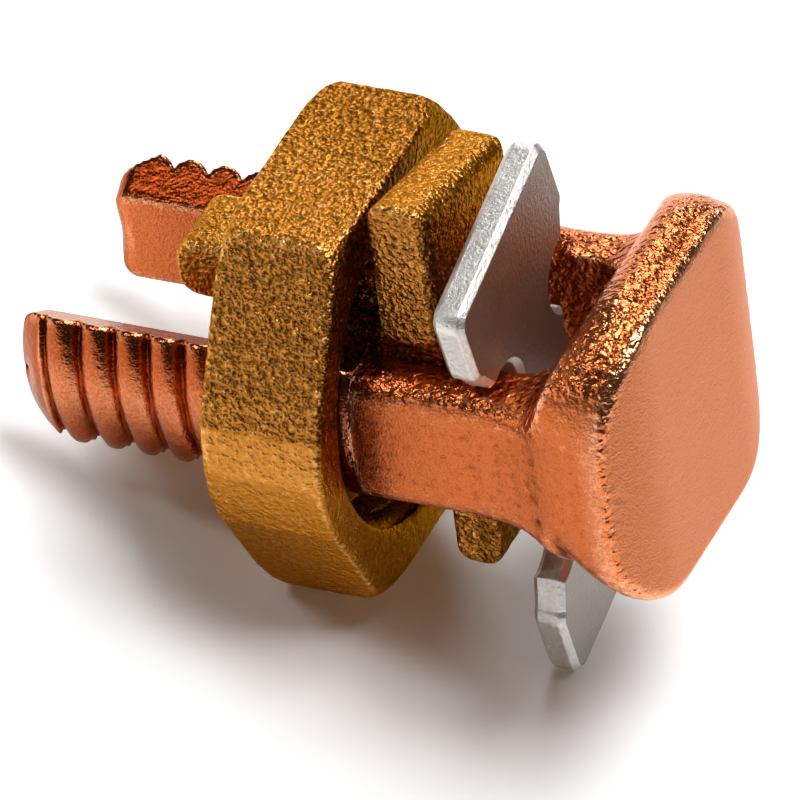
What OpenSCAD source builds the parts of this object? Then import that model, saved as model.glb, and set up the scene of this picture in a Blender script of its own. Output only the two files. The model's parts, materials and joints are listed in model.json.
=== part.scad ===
// Split bolt connector: a slotted bolt, a hex nut, a pressure bar that the nut
// drives along the slot, and a loose spacer that keeps two conductors apart.
// X runs along the bolt towards its head, Y across the legs and Z up the slot;
// the origin is the middle of the slot's bottom.

/* [Bolt] */
// Outer diameter of the thread
thread_d = 9.3; // [9:0.1:9.6]
// Distance from one thread turn to the next
thread_pitch = 1.1; // [0.9:0.05:1.3]
// Depth of the thread groove
thread_depth = 0.5; // [0.3:0.05:0.6]
// Width of the slot between the two legs
slot_w = 5.5; // [5.3:0.1:6]
// Radius of the corners at the slot's bottom
slot_root_r = 1.5; // [0.8:0.1:2]
// Length of each leg from the slot's bottom to its free end
leg_len = 17; // [15:0.1:20]
// Height of a threaded leg at its flat inner face
leg_inner_h = 2.9; // [2.4:0.1:3.6]
// Height of a leg at its outer face
leg_outer_h = 4.6; // [4.2:0.1:5]
// Radius along the outer edges of the plain shank
shank_edge_r = 0.9; // [0.6:0.1:1.2]
// Distance over which the shank widens into the head
flare_len = 2.2; // [1.6:0.1:2.6]

/* [Head] */
// Thickness of the head
head_t = 2.1; // [1.6:0.1:2.8]
// Distance from the slot's bottom to the inner side of the head's rim
head_pos = 0.8; // [0.5:0.1:1.2]
// Width of the head across the two legs
head_w = 11; // [10:0.1:12]
// Height of the head along the slot
head_h = 10; // [9:0.1:11]
// Radius of the head's four corners
head_corner_r = 3.2; // [2.5:0.1:4]

/* [Nut] */
// Width of the nut across its flats
nut_af = 13; // [12.6:0.1:14]
// Thickness of the nut
nut_t = 3.8; // [3:0.1:5]
// Distance from the slot's bottom to the nut
nut_pos = 6.2; // [5.8:0.1:8]
// Gap between the thread and the nut's bore, all round
nut_gap = 0.3; // [0.2:0.05:0.4]
// Radius to which the nut's corners are turned at its two faces
nut_corner_cut = 0.8; // [0.5:0.05:1]

/* [Pressure bar] */
// Thickness of the bar along the bolt
bar_t = 1.9; // [1.6:0.1:2.2]
// Reach of the bar above the middle of the slot
bar_up = 7.6; // [6.6:0.1:8]
// Reach of the bar below the middle of the slot
bar_down = 6.2; // [5.6:0.1:6.8]
// Width of the bar's upper ear
ear_w = 5.8; // [5.2:0.1:6.4]
// Width of the bar's lower ear
foot_w = 3.4; // [2.8:0.1:4.4]
// Thickness of the bar's lower ear along the bolt
foot_t = 1.5; // [1.3:0.1:1.8]
// Distance that the lower ear stands forward of the bar's side next to the nut
foot_ahead = 0.9; // [0.6:0.1:1.1]
// Gap between the upper ear and the legs it stands over
ear_gap = 0.3; // [0.2:0.05:0.5]
// Radius of the ears' corners
ear_r = 0.6; // [0.3:0.1:0.7]
// Gap between the bar's neck and each leg
neck_gap = 0.3; // [0.2:0.05:0.4]
// Gap between the nut and the bar
nut_play = 0.5; // [0.3:0.05:0.8]
// Width of each prong
prong_w = 2.1; // [1.6:0.1:3]
// Height of each prong
prong_h = 1.6; // [1.2:0.1:2]
// Distance from the middle of the slot to the outer side of each prong
prong_out = 3.3; // [3:0.1:4]
// Distance that the prongs reach past the nut
prong_reach = 2.4; // [1.8:0.1:3]

/* [Spacer] */
// Thickness of the spacer plate
spacer_t = 1; // [0.8:0.1:1.4]
// Height of the spacer along the slot
spacer_h = 17.3; // [16.6:0.1:18]
// Width of the spacer's two wide ends
spacer_w = 7; // [6.4:0.1:7.6]
// Height of the straight side of each wide end
spacer_side_h = 2.5; // [2:0.1:3]
// Width of the spacer's neck
spacer_neck_w = 3.2; // [2.8:0.1:3.4]
// Height of the spacer's neck
spacer_neck_h = 4.4; // [4:0.1:5]
// Radius of the round notches beside the neck
notch_r = 1.15; // [1:0.05:1.25]
// Radius of the corners of the wide ends
spacer_corner_r = 0.6; // [0.3:0.1:1]
// Distance by which the spacer hangs below the middle of the slot
spacer_drop = 1.2; // [1.1:0.05:1.3]
// Angle at which the loose spacer leans in the slot
spacer_lean = 16; // [14:0.5:17]
// Distance from the slot's bottom to the middle of the spacer
spacer_pos = 2.1; // [1.8:0.1:2.6]

/* [Hidden] */

copper = [0.78, 0.42, 0.28];
bronze = [0.62, 0.43, 0.16];
tin = [0.72, 0.72, 0.72];
eps = 0.01;

shank_relief = 0.1;
thread_r = thread_d / 2;
bore_r = thread_r + nut_gap;
nut_corner_r = nut_af / sqrt(3);
nut_far = -nut_pos - nut_t;
shank_start = -nut_pos;
shank_w = thread_d - 2 * shank_relief;
bar_far = -nut_pos + nut_play;
bar_near = bar_far + bar_t;
neck_w = slot_w - 2 * neck_gap;
prong_end = nut_far - prong_reach;
foot_far = bar_far + foot_ahead;

shank_slope = 30;
groove_shares = [0.3, 0.4, 0.7];
tip_shares = [0.8, 1.6];
bore_mouth = 0.4;
notch_place = [0.85, 1.4];

// The part lies on the nut's far lower edge and on the spacer's lower corner.
lean_x = spacer_w / 2 - spacer_corner_r;
lean_z = spacer_h / 2 - spacer_corner_r;
spacer_low = spacer_drop + lean_x * sin(spacer_lean) + lean_z * cos(spacer_lean) + spacer_corner_r;
rest_tilt = atan((spacer_low - nut_af / 2) / (-spacer_pos - nut_far));

// Lays the bolt's axis at the slope at which the part comes to rest.
module at_rest() {
    rotate([0, -rest_tilt, 0]) children();
}

// Extrudes an outline drawn in Y and Z along X, from x1 to x2.
module along_x(x1, x2) {
    translate([x1, 0, 0]) rotate([90, 0, 90]) linear_extrude(x2 - x1) children();
}

// Extrudes an outline drawn in X and Z along Y, centred on the slot.
module across(w) {
    translate([0, w / 2, 0]) rotate([90, 0, 0]) linear_extrude(w) children();
}

// Outline with round corners that fills a box from low to high.
module round_box(low, high, r) {
    translate([low.x + r, low.y]) square([high.x - low.x - 2 * r, high.y - low.y]);
    translate([low.x, low.y + r]) square([high.x - low.x, high.y - low.y - 2 * r]);
    for (x = [low.x + r, high.x - r], y = [low.y + r, high.y - r])
        translate([x, y]) circle(r = r, $fn = 48);
}

// Outline of one threaded leg: flat inside, sloped sides, round outside.
module leg_outline() {
    intersection() {
        circle(r = thread_r, $fn = 96);
        polygon([
            [slot_w / 2, -leg_inner_h / 2],
            [thread_r, -leg_outer_h / 2],
            [thread_r, leg_outer_h / 2],
            [slot_w / 2, leg_inner_h / 2]
        ]);
    }
}

// Outline of the plain shank on one side: sloped sides and round outer edges.
module shank_outline() {
    r = shank_edge_r;
    mid = [shank_w / 2 - r, leg_outer_h / 2 - r];
    touch = mid + r * [-sin(shank_slope), cos(shank_slope)];
    inner_x = slot_w / 2 - slot_root_r / 2;
    inner = [inner_x, touch.y - (touch.x - inner_x) * tan(shank_slope)];
    polygon([
        [inner.x, -inner.y], [touch.x, -touch.y], [mid.x, -mid.y], [shank_w / 2, -mid.y],
        [shank_w / 2, mid.y], [mid.x, mid.y], [touch.x, touch.y], [inner.x, inner.y]
    ]);
    for (z = [-1, 1]) translate([mid.x, z * mid.y]) circle(r = r, $fn = 64);
}

// Half section of the legs: rings with the thread's own profile.
function groove(i) = let (x = i * thread_pitch - shank_start) [
    [thread_r, x],
    [thread_r - thread_depth, x + thread_pitch * groove_shares[0]],
    [thread_r - thread_depth, x + thread_pitch * groove_shares[1]],
    [thread_r, x + thread_pitch * groove_shares[2]]
];
module thread_section() {
    turns = floor((leg_len + shank_start) / thread_pitch) - 1;
    polygon(concat(
        [[0, -shank_start - eps], [thread_r, -shank_start - eps]],
        [for (i = [0:turns - 1]) each groove(i)],
        [
            [thread_r, leg_len - thread_pitch],
            [thread_r - thread_depth, leg_len - thread_pitch * tip_shares[0]],
            [thread_r - thread_depth * tip_shares[1], leg_len],
            [0, leg_len]
        ]
    ));
}

module threaded_legs() {
    intersection() {
        rotate([0, -90, 0]) rotate_extrude($fn = 96) thread_section();
        for (side = [0, 180]) rotate([side, 0, 0])
            along_x(-leg_len, shank_start + eps) leg_outline();
    }
}

// Share of the flare's rise at a share t of its length, along a quarter circle.
function flare_rise(t) = 1 - sqrt(1 - t * t);

// Thin slice of the flare at a share t of its length.
module flare_slice(t) {
    head_flat = head_h / 2 - head_t / 2;
    half_w = shank_w / 2 + (head_w / 2 - head_t / 2 - shank_w / 2) * t;
    half_h = leg_outer_h / 2 + (head_flat - leg_outer_h / 2) * flare_rise(t);
    r = shank_edge_r;
    for (y = [-1, 1], z = [-1, 1])
        translate([head_pos - flare_len * (1 - t), y * (half_w - r), z * (half_h - r)])
            rotate([0, 90, 0]) cylinder(r = r, h = eps, $fn = 32);
}

module flare() {
    steps = [0, 0.5, 0.8, 0.95, 1];
    for (i = [0:len(steps) - 2]) hull() {
        flare_slice(steps[i]);
        flare_slice(steps[i + 1]);
    }
}

// Head plate with round corners and a full round rim.
module head() {
    rim_r = head_t / 2;
    flat_r = head_corner_r - rim_r;
    hull() for (y = [-1, 1], z = [-1, 1])
        translate([head_pos, y * (head_w / 2 - head_corner_r), z * (head_h / 2 - head_corner_r)])
            rotate([0, 90, 0]) rotate_extrude($fn = 32) {
                square([flat_r, head_t]);
                intersection() {
                    translate([flat_r, rim_r]) circle(r = rim_r, $fn = 24);
                    translate([flat_r, 0]) square(head_t);
                }
            }
}

// The slot, open at the free end and rounded in its bottom corners.
module slot() {
    translate([0, 0, -head_h]) linear_extrude(2 * head_h) {
        translate([-leg_len - 1, -slot_w / 2]) square([leg_len + 1 - slot_root_r, slot_w]);
        translate([-slot_root_r - eps, slot_root_r - slot_w / 2])
            square([slot_root_r + eps, slot_w - 2 * slot_root_r]);
        for (y = [-1, 1]) translate([-slot_root_r, y * (slot_w / 2 - slot_root_r)])
            circle(r = slot_root_r, $fn = 64);
    }
}

module split_bolt() {
    color(copper) at_rest() {
        threaded_legs();
        difference() {
            union() {
                for (side = [0, 180]) rotate([side, 0, 0])
                    along_x(shank_start, head_pos + eps) shank_outline();
                flare();
                head();
                translate([-2 * slot_root_r, -slot_w / 2, -leg_inner_h / 2])
                    cube([2 * slot_root_r + head_pos + eps, slot_w, leg_inner_h]);
            }
            slot();
        }
    }
}

// Hexagon with corners that are turned round at both faces, and a chamfered bore.
module hex_nut() {
    color(bronze) at_rest() translate([nut_far, 0, 0]) rotate([0, 90, 0])
        difference() {
            intersection() {
                rotate([0, 0, 30]) cylinder(r = nut_corner_r, h = nut_t, $fn = 6);
                rotate_extrude($fn = 96) intersection() {
                    square([nut_corner_r + 1, nut_t]);
                    round_box([-nut_corner_r, 0], [nut_corner_r, nut_t], nut_corner_cut);
                }
            }
            translate([0, 0, -1]) cylinder(r = bore_r, h = nut_t + 2, $fn = 96);
            translate([0, 0, -eps])
                cylinder(r1 = bore_r + bore_mouth, r2 = bore_r, h = bore_mouth, $fn = 96);
            translate([0, 0, nut_t - bore_mouth + eps])
                cylinder(r1 = bore_r, r2 = bore_r + bore_mouth, h = bore_mouth, $fn = 96);
        }
}

// An ear over the legs, a neck in the slot, a lower ear and two prongs through the nut.
module pressure_bar() {
    ear_low = leg_outer_h / 2 + ear_gap;
    color(bronze) at_rest() {
        across(ear_w) round_box([bar_far, ear_low], [bar_near, bar_up], ear_r);
        across(neck_w)
            translate([bar_far, -ear_low]) square([bar_t, 2 * ear_low + ear_r]);
        across(foot_w)
            round_box([foot_far, -bar_down], [foot_far + foot_t, 2 * ear_r - ear_low], ear_r);
        for (side = [0, 1]) mirror([0, 0, side]) across(prong_w)
            round_box([prong_end, prong_out - prong_h], [bar_far + ear_r + eps, prong_out], ear_r);
    }
}

// Outline of the spacer: two wide ends that taper to a neck with round notches.
module spacer_outline() {
    end_h = spacer_h / 2 - spacer_side_h;
    taper = [spacer_neck_w / 2, spacer_neck_h / 2];
    difference() {
        union() {
            for (side = [0, 180]) rotate(side) {
                round_box([-spacer_w / 2, end_h - spacer_corner_r],
                    [spacer_w / 2, spacer_h / 2], spacer_corner_r);
                polygon([
                    [-taper.x, 0], [taper.x, 0], taper,
                    [spacer_w / 2, end_h], [-spacer_w / 2, end_h], [-taper.x, taper.y]
                ]);
            }
        }
        for (y = [-1, 1], z = [-1, 1])
            translate([y * (taper.x + 0.85), z * (taper.y + 1.4)]) circle(r = notch_r, $fn = 64);
    }
}

module spacer() {
    color(tin) at_rest() translate([-spacer_pos, 0, -spacer_drop]) rotate([spacer_lean, 0, 0])
        along_x(-spacer_t / 2, spacer_t / 2) spacer_outline();
}

split_bolt();
hex_nut();
pressure_bar();
spacer();
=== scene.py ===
import json
import math

import bmesh
import bpy
import numpy as np
from mathutils import Matrix, Vector


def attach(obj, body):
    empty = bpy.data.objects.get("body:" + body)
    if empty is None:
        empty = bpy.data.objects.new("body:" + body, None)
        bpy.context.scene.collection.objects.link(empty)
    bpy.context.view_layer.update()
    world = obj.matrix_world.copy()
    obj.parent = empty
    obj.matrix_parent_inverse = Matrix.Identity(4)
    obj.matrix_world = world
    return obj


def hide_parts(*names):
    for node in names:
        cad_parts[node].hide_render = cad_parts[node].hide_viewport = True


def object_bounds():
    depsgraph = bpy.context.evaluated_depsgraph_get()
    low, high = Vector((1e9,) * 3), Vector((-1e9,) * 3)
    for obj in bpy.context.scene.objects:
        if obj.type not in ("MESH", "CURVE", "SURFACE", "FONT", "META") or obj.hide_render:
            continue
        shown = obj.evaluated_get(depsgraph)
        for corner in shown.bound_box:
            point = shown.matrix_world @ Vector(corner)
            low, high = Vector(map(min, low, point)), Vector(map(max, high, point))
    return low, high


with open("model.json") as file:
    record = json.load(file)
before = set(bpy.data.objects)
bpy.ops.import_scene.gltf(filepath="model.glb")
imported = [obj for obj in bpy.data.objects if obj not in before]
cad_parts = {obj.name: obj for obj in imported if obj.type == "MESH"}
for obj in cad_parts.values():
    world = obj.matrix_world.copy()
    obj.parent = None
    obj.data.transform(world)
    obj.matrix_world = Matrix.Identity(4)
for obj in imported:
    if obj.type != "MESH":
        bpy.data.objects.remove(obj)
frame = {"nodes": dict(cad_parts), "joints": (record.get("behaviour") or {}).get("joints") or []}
cadBox = [list(corner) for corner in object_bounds()]
print("frame loaded")

mm = 0.001


# Every piece is shaped in millimetres with X along the bolt, then laid down at its slope.
def boltPlacing():
    slide = next(j for j in frame["joints"] if j["name"] == "spacer_slide")
    along = Vector(slide["axis"]).normalized()
    across = Vector((0, 1, 0))
    upSlot = along.cross(across)
    return Matrix((along, across, upSlot)).transposed().to_4x4()


placing = boltPlacing()
toRow = placing @ Matrix.Scale(mm, 4)
toBolt = toRow.inverted()


def boltBox(node):
    points = np.array([toBolt @ v.co for v in frame["nodes"][node].data.vertices])
    return points.min(0), points.max(0)


boltLow, boltHigh = boltBox("split_bolt")
nutLow, nutHigh = boltBox("hex_nut")
barLow, barHigh = boltBox("pressure_bar")


# A socket that can be used in sums. Each sum adds a Math node to its tree.
class Wire:
    def __init__(self, board, socket):
        self.board, self.socket = board, socket

    def sum(self, operation, *others):
        values = dict(enumerate((self,) + others))
        return self.board.node("ShaderNodeMath", {"operation": operation}, values)

    def __add__(self, other):
        return self.sum("ADD", other)

    def __sub__(self, other):
        return self.sum("SUBTRACT", other)

    def __mul__(self, other):
        return self.sum("MULTIPLY", other)

    def __truediv__(self, other):
        return self.sum("DIVIDE", other)

    def __rsub__(self, other):
        return self.board.value(other).sum("SUBTRACT", self)

    def __rtruediv__(self, other):
        return self.board.value(other).sum("DIVIDE", self)

    def __neg__(self):
        return self * -1

    def __abs__(self):
        return self.sum("ABSOLUTE")

    __radd__, __rmul__ = __add__, __mul__

    def least(self, other):
        return self.sum("MINIMUM", other)

    def most(self, other):
        return self.sum("MAXIMUM", other)

    def within(self, low=0, high=1):
        return self.most(low).least(high)

    def step(self, low, high):
        settings = {"interpolation_type": "SMOOTHSTEP"}
        return self.board.node("ShaderNodeMapRange", settings, {0: self, 1: low, 2: high})


class Board:
    def __init__(self, tree):
        self.tree = tree
        tree.nodes.clear()

    def node(self, kind, settings=None, sockets=None, out=0):
        made = self.tree.nodes.new(kind)
        for name, value in (settings or {}).items():
            setattr(made, name, value)
        for key, value in (sockets or {}).items():
            if isinstance(value, Wire):
                self.tree.links.new(value.socket, made.inputs[key])
            elif value is not None:
                made.inputs[key].default_value = value
        return Wire(self, made.outputs[out]) if made.outputs else None

    def value(self, number):
        return self.node("ShaderNodeMath", {"operation": "ADD"}, {0: number, 1: 0})

    def parts(self, vector):
        split = self.node("ShaderNodeSeparateXYZ", None, {0: vector}).socket.node
        return [Wire(self, out) for out in split.outputs]

    # Colours may be plain (red, green, blue).
    def mix(self, share, *colours):
        first, second = (c if isinstance(c, Wire) else (*c, 1) for c in colours)
        sockets = {0: share, 6: first, 7: second}
        return self.node("ShaderNodeMix", {"data_type": "RGBA"}, sockets, 2)

    def mark(self, name):
        return self.node("ShaderNodeAttribute", {"attribute_name": name}, None, 2)


# Geometry node group with named inputs, each given as (name, kind).
class Maker(Board):
    def __init__(self, name, inputs):
        super().__init__(bpy.data.node_groups.new(name, "GeometryNodeTree"))
        face = self.tree.interface
        face.new_socket("Geometry", in_out="INPUT", socket_type="NodeSocketGeometry")
        face.new_socket("Geometry", in_out="OUTPUT", socket_type="NodeSocketGeometry")
        self.keys = {}
        for label, kind in inputs:
            made = face.new_socket(label, in_out="INPUT", socket_type="NodeSocket" + kind)
            self.keys[label] = made.identifier
        entry = self.tree.nodes.new("NodeGroupInput")
        self.inputs = {s.name: Wire(self, s) for s in entry.outputs if s.name}

    def end(self, geometry, material):
        whole = self.node("GeometryNodeRealizeInstances", None, {0: geometry})
        smooth = self.node("GeometryNodeSetShadeSmooth", None, {0: whole})
        done = self.node("GeometryNodeSetMaterial", None, {0: smooth, "Material": material})
        outlet = self.tree.nodes.new("NodeGroupOutput")
        self.tree.links.new(done.socket, outlet.inputs[0])

    def add(self, thing, values):
        modifier = thing.modifiers.new(self.tree.name, "NODES")
        modifier.node_group = self.tree
        for label, value in values.items():
            modifier[self.keys[label]] = value


def bake(thing):
    graph = bpy.context.evaluated_depsgraph_get()
    graph.update()
    done = bpy.data.meshes.new_from_object(thing.evaluated_get(graph))
    old = thing.data
    thing.modifiers.clear()
    thing.data = done
    bpy.data.meshes.remove(old)
    return thing


def newPiece(name, mesh=None):
    thing = bpy.data.objects.new(name, mesh or bpy.data.meshes.new(name))
    bpy.context.scene.collection.objects.link(thing)
    return thing


# A closed copy of a CAD node, in millimetres on the bolt.
def copyNode(node):
    shape = bmesh.new()
    shape.from_mesh(frame["nodes"][node].data)
    bmesh.ops.transform(shape, matrix=toBolt, verts=shape.verts)
    bmesh.ops.remove_doubles(shape, verts=shape.verts, dist=0.002)
    return shape


def cutAway(shape, point, normal):
    everything = shape.verts[:] + shape.edges[:] + shape.faces[:]
    cut = bmesh.ops.bisect_plane(
        shape, geom=everything, plane_co=point, plane_no=normal, clear_outer=True
    )
    rim = [e for e in cut["geom_cut"] if isinstance(e, bmesh.types.BMEdge)]
    bmesh.ops.contextual_create(shape, geom=rim)
    holes = [e for e in shape.edges if e.is_boundary]
    if holes:
        bmesh.ops.holes_fill(shape, edges=holes)


def toPiece(name, shape):
    thing = newPiece(name)
    shape.to_mesh(thing.data)
    shape.free()
    return thing


def remesh(thing, voxel, rounds):
    grid = thing.modifiers.new("grid", "REMESH")
    grid.mode, grid.voxel_size, grid.use_smooth_shade = "VOXEL", voxel, True
    soft = thing.modifiers.new("soft", "SMOOTH")
    soft.factor, soft.iterations = 0.5, rounds
    return bake(thing)


# Writes how convex the surface is at each point, for wear and painted highlight on edges and painted
# shade in hollows.
def markEdges(mesh, fullBend, rounds):
    count = len(mesh.vertices)
    places = np.empty(count * 3)
    mesh.vertices.foreach_get("co", places)
    places = places.reshape(-1, 3)
    normals = np.empty(count * 3, np.float32)
    mesh.vertices.foreach_get("normal", normals)
    normals = normals.reshape(-1, 3)
    ends = np.empty(len(mesh.edges) * 2, np.int32)
    mesh.edges.foreach_get("vertices", ends)
    first, second = ends.reshape(-1, 2).T
    degree = np.maximum(np.bincount(ends, minlength=count), 1)

    def around(values):
        there = np.bincount(first, values[second], count)
        return (there + np.bincount(second, values[first], count)) / degree

    lengths = ((places[first] - places[second]) ** 2).sum(1)
    spread = (np.bincount(first, lengths, count) + np.bincount(second, lengths, count)) / degree
    middle = np.stack([around(places[:, axis]) for axis in range(3)], 1)
    bend = ((places - middle) * normals).sum(1) / np.maximum(spread, 1e-9) * 4
    bend = np.clip(bend / fullBend, -1.5, 1.5)
    for _ in range(rounds):
        bend = (bend + around(bend)) / 2
    mark = mesh.attributes.new("edge", "FLOAT", "POINT")
    mark.data.foreach_set("value", bend.astype(np.float32))
    return places, normals, around


def smoothStep(values, low, high):
    share = np.clip((values - low) / (high - low), 0, 1)
    return share * share * (3 - 2 * share)


def readPoints(mesh):
    places = np.empty(len(mesh.vertices) * 3)
    mesh.vertices.foreach_get("co", places)
    return places.reshape(-1, 3).T.copy()


def writePoints(mesh, *axes):
    mesh.vertices.foreach_set("co", np.stack(axes, 1).ravel())
    mesh.update()


def finishPiece(thing, node, body, material):
    mesh = thing.data
    mesh.transform(toRow)
    mesh.materials.clear()
    mesh.materials.append(material)
    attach(thing, body)
    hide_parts(node)
    mesh.calc_loop_triangles()
    print(thing.name, "done,", len(mesh.loop_triangles), "triangles")


def newMaterial(name):
    material = bpy.data.materials.new(name)
    material.use_nodes = True
    return material, Board(material.node_tree)


# Object coordinates turned back to the bolt, in millimetres.
def boltPlaces(board):
    objectPlaces = board.node("ShaderNodeTexCoord", None, None, 3)
    turn = placing.to_euler()
    sockets = {0: objectPlaces, 2: turn[:], 3: (1, 1, 1)}
    level = board.node("ShaderNodeMapping", {"vector_type": "TEXTURE"}, sockets)
    return board.node("ShaderNodeVectorMath", {"operation": "SCALE"}, {0: level, "Scale": 1 / mm})


def noise(board, places, scale, detail=3, roughness=0.5, distortion=0):
    sockets = {"Vector": places, "Scale": scale, "Detail": detail}
    sockets.update({"Roughness": roughness, "Distortion": distortion})
    return board.node("ShaderNodeTexNoise", {"noise_dimensions": "3D"}, sockets)


def bump(board, height, depth, strength=1.0, under=None):
    sockets = {"Height": height, "Distance": depth * mm, "Strength": strength, "Normal": under}
    return board.node("ShaderNodeBump", None, sockets)


def metal(board, look, sockets):
    same = {"Metallic": look["metallic"], "Specular Tint": (*look["glance"], 1)}
    surface = board.node("ShaderNodeBsdfPrincipled", None, {**same, **sockets})
    board.node("ShaderNodeOutputMaterial", None, {0: surface})


copperLook = {
    "clean": (0.63, 0.162, 0.046),
    "dark": (0.16, 0.024, 0.006),
    "pale": (0.67, 0.226, 0.095),
    "cut": (0.25, 0.038, 0.006),
    "bright": (0.95, 0.45, 0.24),
    "glance": (1.0, 0.88, 0.80),
    "metallic": 1.0,
    "speckDepth": 0.04,
    "hammerDepth": 0.13,
    "faceFrom": (1.2, 2.0),  # places along the bolt, each a start and an end
    "flareFrom": (1.4, 2.2),
    # the legs inside the nut and the shank's top under the spacer get painted shade
    "nutFrom": (-10.3, -9.9),
    "nutTo": (-5.9, -4.7),
    "spacerShadeFrom": (-7, -6),
    "spacerShadeTo": (-2.6, -1.2),
    "spacerShadeAbove": (2.18, 2.32),
    "endFade": (0.1, 0.6),
}


def makeCopper():
    look = copperLook
    material, board = newMaterial("forgedCopper")
    places = boltPlaces(board)
    edge, plain, turned = (board.mark(name) for name in ("edge", "plain", "turned"))
    grain = noise(board, places, 9, 4, 0.65)
    cloud = noise(board, places, 0.8, 3, 0.55)
    hammer = noise(board, places, 4.2, 1.2, 0.5, 0.2)
    speck = noise(board, places, 15, 2, 0.5)
    x, _, z = board.parts(places)
    onFace = x.step(*look["faceFrom"])
    face = plain * onFace
    edge = edge * x.step(*(boltLow[0] + inset for inset in look["endFade"]))
    paler = cloud * 0.4 + grain * 0.4 - 0.4 + face * 0.9
    tone = board.mix(paler.within(), look["clean"], look["pale"])
    # Thread crests take less of the dark cut colour, a painted highlight.
    tone = board.mix((turned * (0.95 - edge * 0.45)).within(), tone, look["cut"])
    # Painted shade: darker in hollows and thread grooves, on the legs inside the nut, and on the
    # shank's top under the spacer.
    hollowShade = (-edge * (1.7 - turned * 0.6 - x.step(*look["flareFrom"]))).within()
    inNut = x.step(*look["nutFrom"]) * (1 - x.step(*look["nutTo"]))
    # Painted shade and painted dark reflection on the shank's top under the spacer.
    underSpacer = x.step(*look["spacerShadeFrom"]) * (1 - x.step(*look["spacerShadeTo"]))
    spacerShade = z.step(*look["spacerShadeAbove"]) * underSpacer * 0.6
    rim = (1 - abs(plain * 2 - 1)) * (1 - turned).within()
    seam = rim * (0.35 + hammer * 0.5) * (1 - onFace)
    # Painted shade, with the dark seam line and random dark specks.
    shadeAndSoil = hollowShade * 0.95 + inNut * 0.9 + spacerShade + seam + (0.47 - speck) * (1.6 - face)
    tone = board.mix(shadeAndSoil.within(), tone, look["dark"])
    # Lighter convex edges: wear and painted highlight, with random light specks; less under the
    # spacer, painted shade.
    wearAndHighlight = (edge * 0.9 - 0.32) * (1 - turned * 0.6) + (speck - 0.5) * (1.6 - turned)
    tone = board.mix((wearAndHighlight - spacerShade).within(), tone, look["bright"])
    rough = 0.17 + grain * 0.16 + plain * 0.22 - turned * 0.04 - edge.within() * 0.04
    fine = bump(board, speck * (0.4 + plain * 0.6), look["speckDepth"], 0.9)
    struck = hammer * (1 - (plain * 0.85).most(turned * 0.8))
    coarse = bump(board, struck, look["hammerDepth"], 0.9, fine)
    metal(board, look, {"Base Color": tone, "Roughness": rough.within(0.12, 1), "Normal": coarse})
    return material


bronzeLook = {
    "clean": (0.48, 0.188, 0.031),
    "dark": (0.10, 0.031, 0.004),
    "wearAndSheen": (0.92, 0.57, 0.22),
    "glance": (0.92, 0.64, 0.38),
    "metallic": 1.0,
    "grainDepth": 0.02,
    "castDepth": 0.13,
    "nutFineBelow": 1.3,  # the nut's lower side is finer
    "barFineBelow": -20,  # lower than the bar, so it is rough all over
}


def makeBronze(name, fineBelow, shadeAndSkinFor):
    look = bronzeLook
    material, board = newMaterial(name)
    places = boltPlaces(board)
    x, y, z = board.parts(places)
    edge = board.mark("edge")
    cast = noise(board, places, 6.2, 1.5, 0.5, 0.15)
    grain = noise(board, places, 15, 2, 0.6)
    cloud = noise(board, places, 0.55, 2, 0.5)
    fineSide = 1 - z.step(fineBelow - 0.1, fineBelow + 0.1)
    # Painted shade in recesses, and on the nut its darker rough skin.
    shadeAndSkin = shadeAndSkinFor(x, y, z)
    shade = ((0.51 - cast) * 2.2 + (0.5 - grain) * 1.2) * (1 - fineSide * 0.6)
    tone = board.mix((shade + shadeAndSkin).within(), look["clean"], look["dark"])
    # Convex edges are lighter, wear and painted highlight; raised cast spots are lighter too.
    wearAndSheen = (edge * 0.8 - 0.45).within(0, 0.35) + (cast - 0.58) * 3.5 * (1 - fineSide * 0.6)
    tone = board.mix((wearAndSheen - shadeAndSkin * 0.7).within(), tone, look["wearAndSheen"])
    rough = (0.18 + cloud * 0.1 + grain * 0.12).within()
    fine = bump(board, grain, look["grainDepth"], 0.8)
    coarse = bump(board, cast * (1 - fineSide * 0.65), look["castDepth"], 1.0, fine)
    metal(board, look, {"Base Color": tone, "Roughness": rough, "Normal": coarse})
    return material


tinLook = {
    "clean": (0.80, 0.77, 0.73),
    "dull": (0.26, 0.23, 0.20),
    "face": (0.32, 0.28, 0.235),
    "glance": (1.0, 1.0, 1.0),
    "metallic": 0.95,
    "speckleDepth": 0.05,
}


def makeTin():
    look = tinLook
    material, board = newMaterial("tinPlate")
    places = boltPlaces(board)
    speckle = noise(board, places, 7, 4, 0.7)
    cloud = noise(board, places, 0.9, 3, 0.6)
    rim = board.mark("rim")
    # The bevelled rim is near white and the face dark; the rim's lightness and its lack of stain are
    # partly painted highlight.
    bare = board.mix(rim, look["face"], look["clean"])
    stain = (1.2 - cloud * 1.2 + (0.5 - speckle) * 2.4) * (1 - rim * 0.6)
    tone = board.mix(stain.within(), bare, look["dull"])
    rough = (0.24 + cloud * 0.15 + speckle * 0.18 - rim * 0.06).within()
    coarse = bump(board, speckle, look["speckleDepth"], 0.8)
    metal(board, look, {"Base Color": tone, "Roughness": rough, "Normal": coarse})
    return material


copper = makeCopper()


shadeAndSkin = {
    "bore": 0.9,
    "boreTo": (5.05, 5.5),
    "nutFace": 0.5,
    "nutFaceDepth": (0.12, 0.02),
    "skinAbove": (1.2, 1.4),
    "flatAbove": (6.1, 6.3),
    "flatBack": (-2.5, 3),
    "barInNut": 0.9,
    "barFrom": (-10.2, -9.9),
    "barTo": (-6.2, -5.5),
    "barFace": 0.55,
    "barFaceFrom": (-4.05, -3.9),
}


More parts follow.
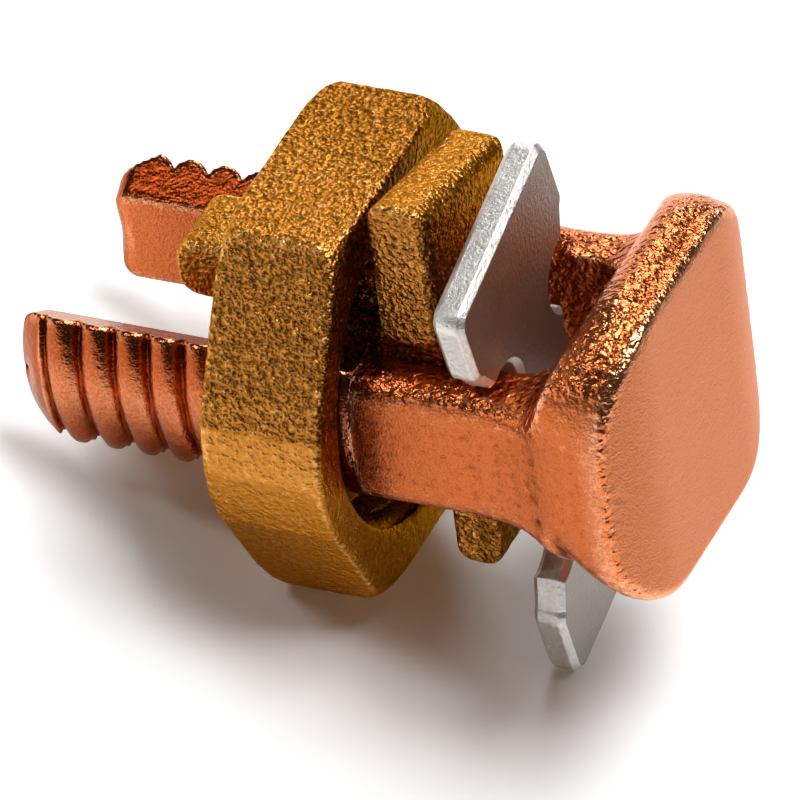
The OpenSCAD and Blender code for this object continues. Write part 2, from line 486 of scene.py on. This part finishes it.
# Painted shade darkens the bore and the face towards the bar. The rough upper side has a darker tone
# of its own; on the top flat its front is kept lighter and its back darker, painted light.
def nutShadeAndSkin(x, y, z):
    radius = (y * y + z * z).sum("SQRT")
    topFlatLight = z.step(*shadeAndSkin["flatAbove"]) * (0.26 - y.step(*shadeAndSkin["flatBack"]) * 0.3)
    skin = z.step(*shadeAndSkin["skinAbove"]) * (0.32 - topFlatLight)
    face = x.step(*(nutHigh[0] - depth for depth in shadeAndSkin["nutFaceDepth"]))
    return (1 - radius.step(*shadeAndSkin["boreTo"])) * shadeAndSkin["bore"] + face * shadeAndSkin["nutFace"] + skin


# Painted shade on the bar where it sits in the nut and on its front towards the head.
def barShade(x, y, z):
    inNut = x.step(*shadeAndSkin["barFrom"]) * (1 - x.step(*shadeAndSkin["barTo"])) * shadeAndSkin["barInNut"]
    return inNut + x.step(*shadeAndSkin["barFaceFrom"]) * shadeAndSkin["barFace"]


nutBronze = makeBronze("castBronze", bronzeLook["nutFineBelow"], nutShadeAndSkin)
barBronze = makeBronze("barBronze", bronzeLook["barFineBelow"], barShade)
tin = makeTin()
print("finishes made")


# Rough skin that casting and forging leave.
skinGroup = Maker("roughSkin", [
    ("Size", "Float"), ("Depth", "Float"), ("Fade From", "Float"), ("Fade To", "Float"),
    ("Seed", "Float"), ("Material", "Material"),
])


def fillSkin(group):
    pins = group.inputs
    place = group.node("GeometryNodeInputPosition")
    normal = group.node("GeometryNodeInputNormal")
    sockets = {"Vector": place, "W": pins["Seed"], "Scale": 1 / pins["Size"], "Detail": 1.5}
    pattern = group.node("ShaderNodeTexNoise", {"noise_dimensions": "4D"}, sockets)
    along = group.parts(place)[0]
    fade = 1 - along.step(pins["Fade From"], pins["Fade To"])
    lift = (pattern - 0.5) * 2 * pins["Depth"] * fade
    offset = group.node("ShaderNodeVectorMath", {"operation": "SCALE"}, {0: normal, "Scale": lift})
    moved = group.node("GeometryNodeSetPosition", None, {0: pins["Geometry"], "Offset": offset})
    group.end(moved, pins["Material"])


fillSkin(skinGroup)
wholePiece = (900.0, 901.0)  # a fade this far along the bolt leaves the skin everywhere


def addSkin(thing, settings, fade, seed, material):
    skinGroup.add(thing, {
        "Size": settings["skinSize"], "Depth": settings["skinDepth"], "Fade From": fade[0],
        "Fade To": fade[1], "Seed": seed, "Material": material,
    })
    bake(thing)


# The thread that the legs and the nut share, in millimetres.
thread = {
    "pitch": 1.1,
    "depth": 0.52,
    "crestRadius": 4.65,
    "slotHalf": 2.75,
    "innerHalf": 1.45,
    "outerHalf": 2.62,
    "underNut": 0.35,
    "endInset": 0.02,
    "tipLength": 1.15,
    "tipDrop": 0.75,
    "edgeRound": 0.07,
    "endRound": 0.6,
    "stations": 190,
    "around": 120,
}


def helixDip(x, turn, pitch):
    share = (x / pitch - turn).sum("FRACT")
    off = abs(share - 0.5) * 1.96
    return 1 - (1 - off * off).most(0).sum("SQRT")


legGroup = Maker("threadedLeg", [
    ("Crest Radius", "Float"), ("Groove Depth", "Float"), ("Pitch", "Float"), ("Start", "Float"),
    ("Free End", "Float"), ("Slot Half", "Float"), ("Inner Half", "Float"), ("Outer Half", "Float"),
    ("Edge Round", "Float"), ("End Round", "Float"), ("Tip Length", "Float"), ("Tip Drop", "Float"),
    ("Phase", "Float"), ("Stations", "Int"), ("Around", "Int"), ("Material", "Material"),
])


def fillLeg(group):
    pins = group.inputs
    rod = group.node("GeometryNodeMeshCylinder", {"fill_type": "TRIANGLE_FAN"}, {
        "Vertices": pins["Around"], "Side Segments": pins["Stations"], "Radius": 1, "Depth": 1,
    })
    u, v, w = group.parts(group.node("GeometryNodeInputPosition"))
    length = (u * u + v * v).sum("SQRT")
    cosine, sine = u / length.most(0.0001), v / length.most(0.0001)
    share = w + 0.5
    x = pins["Free End"] + (pins["Start"] - pins["Free End"]) * share
    crest, slotHalf = pins["Crest Radius"], pins["Slot Half"]
    centre = (crest + slotHalf) * 0.5
    inner = (centre - slotHalf) / (-cosine).most(0.02)
    rise, run = pins["Outer Half"] - pins["Inner Half"], crest - slotHalf
    steep = abs(sine) * run - cosine * rise
    side = (pins["Inner Half"] * run + (centre - slotHalf) * rise) / steep.most(0.02)
    reach = (crest * crest - centre * centre * sine * sine).sum("SQRT") - centre * cosine
    turn = (reach * sine).sum("ARCTAN2", centre + reach * cosine) / (2 * math.pi) + pins["Phase"]
    fromEnd = x - pins["Free End"]
    dip = helixDip(x, turn, pins["Pitch"]) * pins["Groove Depth"]
    tip = (1 - fromEnd / pins["Tip Length"]).within() * pins["Tip Drop"]
    radius = crest - dip.most(tip)
    outer = (radius * radius - centre * centre * sine * sine).sum("SQRT") - centre * cosine
    soft = pins["Edge Round"]
    reached = inner.sum("SMOOTH_MIN", side, soft).sum("SMOOTH_MIN", outer, soft)
    back = 1 - (fromEnd / pins["End Round"]).within()
    reached = reached - pins["End Round"] * (1 - (1 - back * back).most(0).sum("SQRT"))
    spot = group.node("ShaderNodeCombineXYZ", None, {
        0: x, 1: centre + reached * cosine * length, 2: reached * sine * length,
    })
    shaped = group.node("GeometryNodeSetPosition", None, {0: rod, "Position": spot})
    group.end(shaped, pins["Material"])


fillLeg(legGroup)


def threadedLeg(turned):
    leg = newPiece("leg" + str(turned))
    legGroup.add(leg, {
        "Crest Radius": thread["crestRadius"], "Groove Depth": thread["depth"],
        "Pitch": thread["pitch"], "Start": nutHigh[0] + thread["underNut"],
        "Free End": boltLow[0] + thread["endInset"], "Slot Half": thread["slotHalf"],
        "Inner Half": thread["innerHalf"], "Outer Half": thread["outerHalf"],
        "Edge Round": thread["edgeRound"], "End Round": thread["endRound"],
        "Tip Length": thread["tipLength"], "Tip Drop": thread["tipDrop"], "Phase": turned / 2,
        "Stations": thread["stations"], "Around": thread["around"], "Material": copper,
    })
    bake(leg)
    leg.data.transform(Matrix.Rotation(math.pi * turned, 4, "X"))
    return leg


def joinPieces(first, others):
    chosen = [first] + others
    with bpy.context.temp_override(active_object=first, selected_editable_objects=chosen):
        bpy.ops.object.join()


forging = {
    "voxel": 0.1,
    "rounds": 5,
    "skinSize": 0.32,
    "skinDepth": 0.02,
    "joinAt": -2.0,
    "slotCorner": 1.5,
    "slotSteps": 12,
    "slotReach": 12,
    "slotTall": 18,
    "perCorner": 26,
    "perSide": 8,
    "faceRings": 14,
    "dome": 0.85,
    "domeFrom": 2.6,
    "domeTo": 5.4,
    "domeMost": 1.1,
    "domeAlong": (-1.6, 0.9),
    "stations": 60,
    "underNut": 0.05,
    "skinFade": (0.6, 0.25),
    "edgeBend": 2.6,
    "edgeRounds": 2,
    "maskRounds": 3,
    "legsBefore": 0.1,
    "frontFrom": 1.2,
    "sideFrom": 4.2,
    "frontTurn": (0.72, 0.92),
    "sideTurn": (0.8, 0.95),
    "innerTurn": (0.75, 0.95),
}
# Sections of the head along the bolt: place, half width, height above, height below, corner radius.
headSections = [
    (-2.4, 4.55, 2.30, 2.30, 0.90),
    (-1.6, 4.60, 2.30, 2.34, 0.90),
    (-0.9, 4.70, 2.34, 2.50, 0.95),
    (-0.4, 4.80, 2.50, 2.72, 1.05),
    (0.0, 4.88, 2.82, 2.98, 1.20),
    (0.3, 4.96, 3.30, 3.22, 1.45),
    (0.5, 5.02, 3.80, 3.40, 1.75),
    (0.65, 5.06, 4.25, 3.55, 2.10),
    (0.8, 5.10, 4.58, 3.72, 2.50),
    (1.0, 5.15, 4.82, 3.98, 2.90),
    (1.3, 5.22, 5.02, 4.36, 3.20),
    (1.7, 5.30, 5.12, 4.70, 3.35),
    (2.05, 5.34, 5.08, 4.88, 3.40),
    (2.3, 5.38, 4.96, 4.96, 3.40),
    (2.42, 5.39, 4.92, 4.99, 3.40),
    (2.52, 5.39, 4.92, 5.00, 3.40),
    (2.62, 5.39, 4.92, 5.00, 3.42),
    (2.74, 5.36, 4.88, 4.97, 3.42),
    (2.84, 5.28, 4.80, 4.89, 3.40),
    (2.9, 5.16, 4.68, 4.77, 3.38),
]


def sectionRing(half, above, below, corner):
    middle, tall = (above - below) / 2, (above + below) / 2
    corner = min(corner, half - 0.01, tall - 0.01)
    ring = []
    for quarter, (sideY, sideZ) in enumerate([(1, 1), (-1, 1), (-1, -1), (1, -1)]):
        centre = (sideY * (half - corner), sideZ * (tall - corner))
        for i in range(forging["perCorner"]):
            angle = (quarter + i / (forging["perCorner"] - 1)) * math.pi / 2
            ring.append((centre[0] + corner * math.cos(angle), centre[1] + corner * math.sin(angle)))
        last = ring[-1]
        nextCentre = [(-1, 1), (-1, -1), (1, -1), (1, 1)][quarter]
        angle = (quarter + 1) * math.pi / 2
        first = (
            nextCentre[0] * (half - corner) + corner * math.cos(angle),
            nextCentre[1] * (tall - corner) + corner * math.sin(angle),
        )
        for i in range(1, forging["perSide"]):
            share = i / forging["perSide"]
            ring.append(tuple(a + (b - a) * share for a, b in zip(last, first)))
    return [(y, z + middle) for y, z in ring]


# The head as one lofted form, its two sides bent back, with the slot's round bottom cut in.
def headForm():
    knots = np.array(headSections)
    even = np.linspace(knots[0, 0], knots[-1, 0], forging["stations"])
    stations = np.unique(np.concatenate([even, knots[:, 0]]))
    shape = bmesh.new()
    rings = []
    for x in stations:
        half, above, below, corner = (np.interp(x, knots[:, 0], knots[:, i]) for i in range(1, 5))
        rings.append([shape.verts.new((x, y, z)) for y, z in sectionRing(half, above, below, corner)])
    outline = [v.co.copy() for v in rings[-1]]
    for i in range(1, forging["faceRings"]):
        share = 1 - i / forging["faceRings"]
        rings.append([shape.verts.new((co.x, co.y * share, co.z * share)) for co in outline])
    count = len(outline)
    for low, high in zip(rings, rings[1:]):
        for i in range(count):
            j = (i + 1) % count
            shape.faces.new((low[i], low[j], high[j], high[i]))
    shape.faces.new(rings[0][::-1])
    centre = shape.verts.new((outline[0].x, 0, 0))
    for i in range(count):
        shape.faces.new((rings[-1][i], rings[-1][(i + 1) % count], centre))
    bmesh.ops.recalc_face_normals(shape, faces=shape.faces[:])
    domeFrom, domeWide = forging["domeFrom"], forging["domeTo"] - forging["domeFrom"]
    for v in shape.verts:
        share = min(max((abs(v.co.y) - domeFrom) / domeWide, 0), forging["domeMost"])
        onHead = float(smoothStep(v.co.x, *forging["domeAlong"]))
        v.co.x -= forging["dome"] * share ** 2 * onHead
    return toPiece("headForm", shape)


def slotCutter():
    half, corner = thread["slotHalf"], forging["slotCorner"]
    reach, tall, steps = forging["slotReach"], forging["slotTall"], forging["slotSteps"]
    outline = [(-reach, -half), (-reach, half)]
    for i in range(steps + 1):
        angle = math.pi / 2 * (1 - i / steps)
        outline.append((corner * (math.cos(angle) - 1), half - corner + corner * math.sin(angle)))
    for i in range(steps + 1):
        angle = -math.pi / 2 * i / steps
        outline.append((corner * (math.cos(angle) - 1), corner - half + corner * math.sin(angle)))
    shape = bmesh.new()
    base = shape.faces.new([shape.verts.new((x, y, -tall / 2)) for x, y in outline])
    raised = bmesh.ops.extrude_face_region(shape, geom=[base])
    tops = [v for v in raised["geom"] if isinstance(v, bmesh.types.BMVert)]
    bmesh.ops.translate(shape, verts=tops, vec=(0, 0, tall))
    bmesh.ops.recalc_face_normals(shape, faces=shape.faces[:])
    return toPiece("slotCutter", shape)


def makeBolt():
    shape = copyNode("split_bolt")
    cutAway(shape, (nutHigh[0] - forging["underNut"], 0, 0), (-1, 0, 0))
    cutAway(shape, (forging["joinAt"], 0, 0), (1, 0, 0))
    body = toPiece("forgedBolt", shape)
    head, cutter = headForm(), slotCutter()
    carve = head.modifiers.new("slot", "BOOLEAN")
    carve.operation, carve.solver, carve.object = "DIFFERENCE", "EXACT", cutter
    bake(head)
    bpy.data.objects.remove(cutter)
    joinPieces(body, [head])
    remesh(body, forging["voxel"], forging["rounds"])
    fade = [boltHigh[0] - inset for inset in forging["skinFade"]]
    addSkin(body, forging, fade, 3.0, copper)
    joinPieces(body, [threadedLeg(0), threadedLeg(1)])
    places, normals, around = markEdges(body.data, forging["edgeBend"], forging["edgeRounds"])
    x, y = places[:, 0], places[:, 1]
    front = smoothStep(normals[:, 0], *forging["frontTurn"]) * (x > forging["frontFrom"])
    sides = smoothStep(np.abs(normals[:, 1]), *forging["sideTurn"]) * (np.abs(y) > forging["sideFrom"])
    onLegs = x < nutHigh[0] - forging["legsBefore"]
    inner = smoothStep(-normals[:, 1] * np.sign(y), *forging["innerTurn"])
    masks = {
        "plain": np.where(onLegs, inner, np.maximum(front, sides)),
        "turned": np.where(onLegs, 1 - inner, 0.0),
    }
    for name, mask in masks.items():
        for _ in range(forging["maskRounds"]):
            mask = (mask + around(mask)) / 2
        mark = body.data.attributes.new(name, "FLOAT", "POINT")
        mark.data.foreach_set("value", mask.astype(np.float32))
    finishPiece(body, "split_bolt", "bolt", copper)


makeBolt()


nutCast = {
    "firstVoxel": 0.12,
    "voxel": 0.09,
    "rounds": 2,
    "skinSize": 0.26,
    "skinDepth": 0.028,
    "roundFrom": 6.58,
    "roundKeep": 0.36,
    "chamferFrom": 6.95,
    "chamferSlope": 0.5,
    "boreThread": 0.35,
    "boreBelow": 5.2,
    "boreInset": 0.1,
    "cornerSpread": 31,
    "edgeBend": 3.0,
}


# Rounds the front and back corners and chamfers the far face.
def shapeNut(mesh):
    x, y, z = readPoints(mesh)
    radius = np.hypot(y, z)
    spread = np.abs(np.arctan2(z, np.abs(y)))
    roundFrom = nutCast["roundFrom"]
    corner = (spread < math.radians(nutCast["cornerSpread"])) & (radius > roundFrom)
    limit = roundFrom + (radius - roundFrom) * nutCast["roundKeep"]
    scale = np.where(corner, limit / radius, 1)
    y, z, radius = y * scale, z * scale, radius * scale
    edge = nutLow[0] + np.maximum(radius - nutCast["chamferFrom"], 0) * nutCast["chamferSlope"]
    x = np.maximum(x, edge)
    writePoints(mesh, x, y, z)


def cutBore(mesh):
    x, y, z = readPoints(mesh)
    radius = np.hypot(y, z)
    share = np.mod(x / thread["pitch"] - np.arctan2(z, y) / (2 * math.pi), 1)
    ridge = 1 - np.abs(share - 0.5) * 2
    inset = nutCast["boreInset"]
    wall = (radius < nutCast["boreBelow"]) & (x > nutLow[0] + inset) & (x < nutHigh[0] - inset)
    scale = np.where(wall, 1 + ridge * nutCast["boreThread"] / radius, 1)
    writePoints(mesh, x, y * scale, z * scale)


def makeNut():
    body = remesh(toPiece("castNut", copyNode("hex_nut")), nutCast["firstVoxel"], 1)
    shapeNut(body.data)
    remesh(body, nutCast["voxel"], nutCast["rounds"])
    cutBore(body.data)
    addSkin(body, nutCast, wholePiece, 8.0, nutBronze)
    markEdges(body.data, nutCast["edgeBend"], nutCast["rounds"])
    finishPiece(body, "hex_nut", "nut", nutBronze)


makeNut()


barCast = {
    "firstVoxel": 0.1,
    "voxel": 0.08,
    "rounds": 2,
    "skinSize": 0.26,
    "skinDepth": 0.028,
    "chamfer": 0.28,
    "bossDepth": 2.4,
    "bossHalf": (2.4, 2.5),
    "bossInset": 1.9,
    "bossSink": 0.6,
    "plateFront": -3.8,
    "earAhead": -6,
    "earFrom": (2.5, 3.4),
    "earFall": 1.35,
    "fallFrom": 2.6,
    "fallOver": 5,
    "prongGrow": 0.5,
    "prongTop": 0.3,
    "prongSide": 1.25,
    "prongEnd": (9.8, 10.4),
    "prongReach": 2.6,
    "prongAbove": 2.6,
    "firstRounds": 3,
    "edgeBend": 3.0,
}


def box(name, low, high):
    shape = bmesh.new()
    bmesh.ops.create_cube(shape, size=1)
    for v in shape.verts:
        v.co = [a + (b - a) * (c + 0.5) for a, b, c in zip(low, high, v.co)]
    return toPiece(name, shape)


# The upper ear falls towards the back, and the prongs are heavier at their ends.
def shapeBar(mesh):
    x, y, z = readPoints(mesh)
    ear = smoothStep(z, *barCast["earFrom"]) * (x > barCast["earAhead"])
    share = np.clip((y - barLow[1]) / (barHigh[1] * 2), 0, 1)
    height = np.clip((z - barCast["fallFrom"]) / barCast["fallOver"], 0, 1)
    z = z - barCast["earFall"] * share * height * ear
    endFrom = barCast["prongEnd"][0]
    end = smoothStep(-x, *barCast["prongEnd"])
    x = x - barCast["prongGrow"] * end * np.clip((-x - endFrom) / barCast["prongReach"], 0, 1)
    z = z + np.sign(z) * barCast["prongTop"] * end * (np.abs(z) > barCast["prongAbove"])
    y = y * (1 + (barCast["prongSide"] - 1) * end)
    writePoints(mesh, x, y, z)


def makeBar():
    shape = copyNode("pressure_bar")
    for side in (-1, 1):
        corner = Vector((barCast["plateFront"] - barCast["chamfer"], side * barHigh[1], 0))
        cutAway(shape, corner, (1, side, 0))
    body = toPiece("castBar", shape)
    halfY, halfZ = barCast["bossHalf"]
    front = barHigh[0] - barCast["bossInset"]
    low = (front - barCast["bossDepth"], -halfY, -halfZ)
    boss = box("boss", low, (front + barCast["bossSink"], halfY, halfZ))
    joinPieces(body, [boss])
    remesh(body, barCast["firstVoxel"], barCast["firstRounds"])
    shapeBar(body.data)
    remesh(body, barCast["voxel"], barCast["rounds"])
    addSkin(body, barCast, wholePiece, 15.0, barBronze)
    markEdges(body.data, barCast["edgeBend"], barCast["rounds"])
    finishPiece(body, "pressure_bar", "bar", barBronze)


makeBar()


plate = {
    "bevel": 0.27,
    "softEdge": 0.035,
    "flatAngle": 1,
    "rimAngle": 70,
    "softAngle": 25,
    "facing": 0.9,
}


def makeSpacer():
    shape = copyNode("spacer")
    flat = math.radians(plate["flatAngle"])
    bmesh.ops.dissolve_limit(shape, angle_limit=flat, verts=shape.verts, edges=shape.edges)
    rims = [
        e for e in shape.edges
        if len(e.link_faces) == 2 and e.calc_face_angle() > math.radians(plate["rimAngle"])
        and sum(abs(face.normal.x) for face in e.link_faces) > plate["facing"]
    ]
    bmesh.ops.bevel(
        shape, geom=rims, offset=plate["bevel"], segments=1, profile=0.5,
        affect="EDGES", clamp_overlap=True,
    )
    body = toPiece("tinSpacer", shape)
    soft = body.modifiers.new("soft", "BEVEL")
    soft.width, soft.segments, soft.limit_method = plate["softEdge"], 2, "ANGLE"
    soft.angle_limit = math.radians(plate["softAngle"])
    bake(body)
    faces = body.data.polygons
    lean = max(faces, key=lambda face: face.area).normal.copy()
    rim = [float(abs(face.normal.dot(lean)) < plate["facing"]) for face in faces]
    mark = body.data.attributes.new("rim", "FLOAT", "FACE")
    mark.data.foreach_set("value", rim)
    finishPiece(body, "spacer", "spacer", tin)


makeSpacer()


ground = {
    "half": 2.0,
    "gap": 0.00002,
    "colour": (0.9, 0.92, 0.94),
    "glowNear": (0.05, 0.03, 0.012),
    "glowBeyond": (0.42, 0.40, 0.38),
    "middle": (-0.0025, -0.004),
    "glowFrom": (0.0085, 0.0145),
}


def makeStage():
    half, level = ground["half"], cadBox[0][2] - ground["gap"]
    corners = [(-half, -half, level), (half, -half, level), (half, half, level), (-half, half, level)]
    floorMesh = bpy.data.meshes.new("floor")
    floorMesh.from_pydata(corners, [], [(0, 1, 2, 3)])
    newPiece("floor", floorMesh)
    material, board = newMaterial("paleFloor")
    rays = board.node("ShaderNodeLightPath").socket.node.outputs
    camera, glossy, through = (
        Wire(board, rays["Is " + kind + " Ray"]) for kind in ("Camera", "Glossy", "Transmission")
    )
    plain = board.node("ShaderNodeBsdfDiffuse", None, {"Color": (*ground["colour"], 1)})
    # The floor glows less and warmer near the object: painted shade under it with a painted warm
    # bounce from the metal; further away the glow makes the floor white.
    spot = board.parts(board.node("ShaderNodeTexCoord", None, None, 3))
    x, y = (place - middle for place, middle in zip(spot, ground["middle"]))
    away = (x * x + y * y).sum("SQRT").step(*ground["glowFrom"])
    glow = board.mix(away, ground["glowNear"], ground["glowBeyond"])
    lift = board.node("ShaderNodeEmission", None, {"Color": glow, "Strength": 1})
    both = board.node("ShaderNodeAddShader", None, {0: plain, 1: lift})
    seen = (camera + glossy + through).within()
    surface = board.node("ShaderNodeMixShader", None, {0: seen, 1: plain, 2: both})
    board.node("ShaderNodeOutputMaterial", None, {0: surface})
    floorMesh.materials.append(material)


light = {
    "world": 0.06,
    "lamps": {  # place, size and power
        "overhead": ((0.01, 0.01, 0.17), 0.1, 0.36),
        "rear": ((-0.09, 0.15, 0.08), 0.06, 0.13),
        "left": ((-0.135, -0.073, 0.113), 0.03, 0.06),
    },
}


def makeWorld():
    world = bpy.data.worlds.new("studio")
    bpy.context.scene.world = world
    world.use_nodes = True
    board = Board(world.node_tree)
    air = board.node("ShaderNodeBackground", None, {"Color": (1, 1, 1, 1), "Strength": light["world"]})
    board.node("ShaderNodeOutputWorld", None, {0: air})


def makeLamp(name, place, size, power):
    lamp = bpy.data.lights.new(name, "AREA")
    lamp.shape, lamp.size, lamp.energy = "SQUARE", size, power
    thing = bpy.data.objects.new(name, lamp)
    bpy.context.scene.collection.objects.link(thing)
    thing.location = place
    thing.rotation_euler = (-Vector(place)).to_track_quat("-Z", "Y").to_euler()


viewpoint = {
    "sensor": 36,
    "lens": 900,
    "turn": (2.20984, 0.39832, -0.33865),  # axis times angle, from the bolt to the view
    "width": 23.137,  # what the view takes in, in millimetres
    "aim": (-6.058, 0.393),  # its middle, right of and below the slot's bottom
    "clip": (0.01, 10),
}


def makeCamera():
    lens = bpy.data.cameras.new("camera")
    lens.sensor_width, lens.lens = viewpoint["sensor"], viewpoint["lens"]
    lens.clip_start, lens.clip_end = viewpoint["clip"]
    axis = Vector(viewpoint["turn"])
    right, down, away = Matrix.Rotation(axis.length, 3, axis.normalized())
    aim = right * viewpoint["aim"][0] + down * viewpoint["aim"][1]
    distance = viewpoint["width"] * lens.lens / lens.sensor_width
    place = (aim - away * distance) * mm
    look = Matrix((right, -down, -away)).transposed().to_4x4()
    camera = bpy.data.objects.new("camera", lens)
    bpy.context.scene.collection.objects.link(camera)
    camera.matrix_world = placing @ Matrix.Translation(place) @ look
    bpy.context.scene.camera = camera


makeStage()
makeWorld()
for lampName, settings in light["lamps"].items():
    makeLamp(lampName, *settings)
makeCamera()
bpy.context.scene.view_settings.view_transform = "Standard"
print("stage, light and camera set")
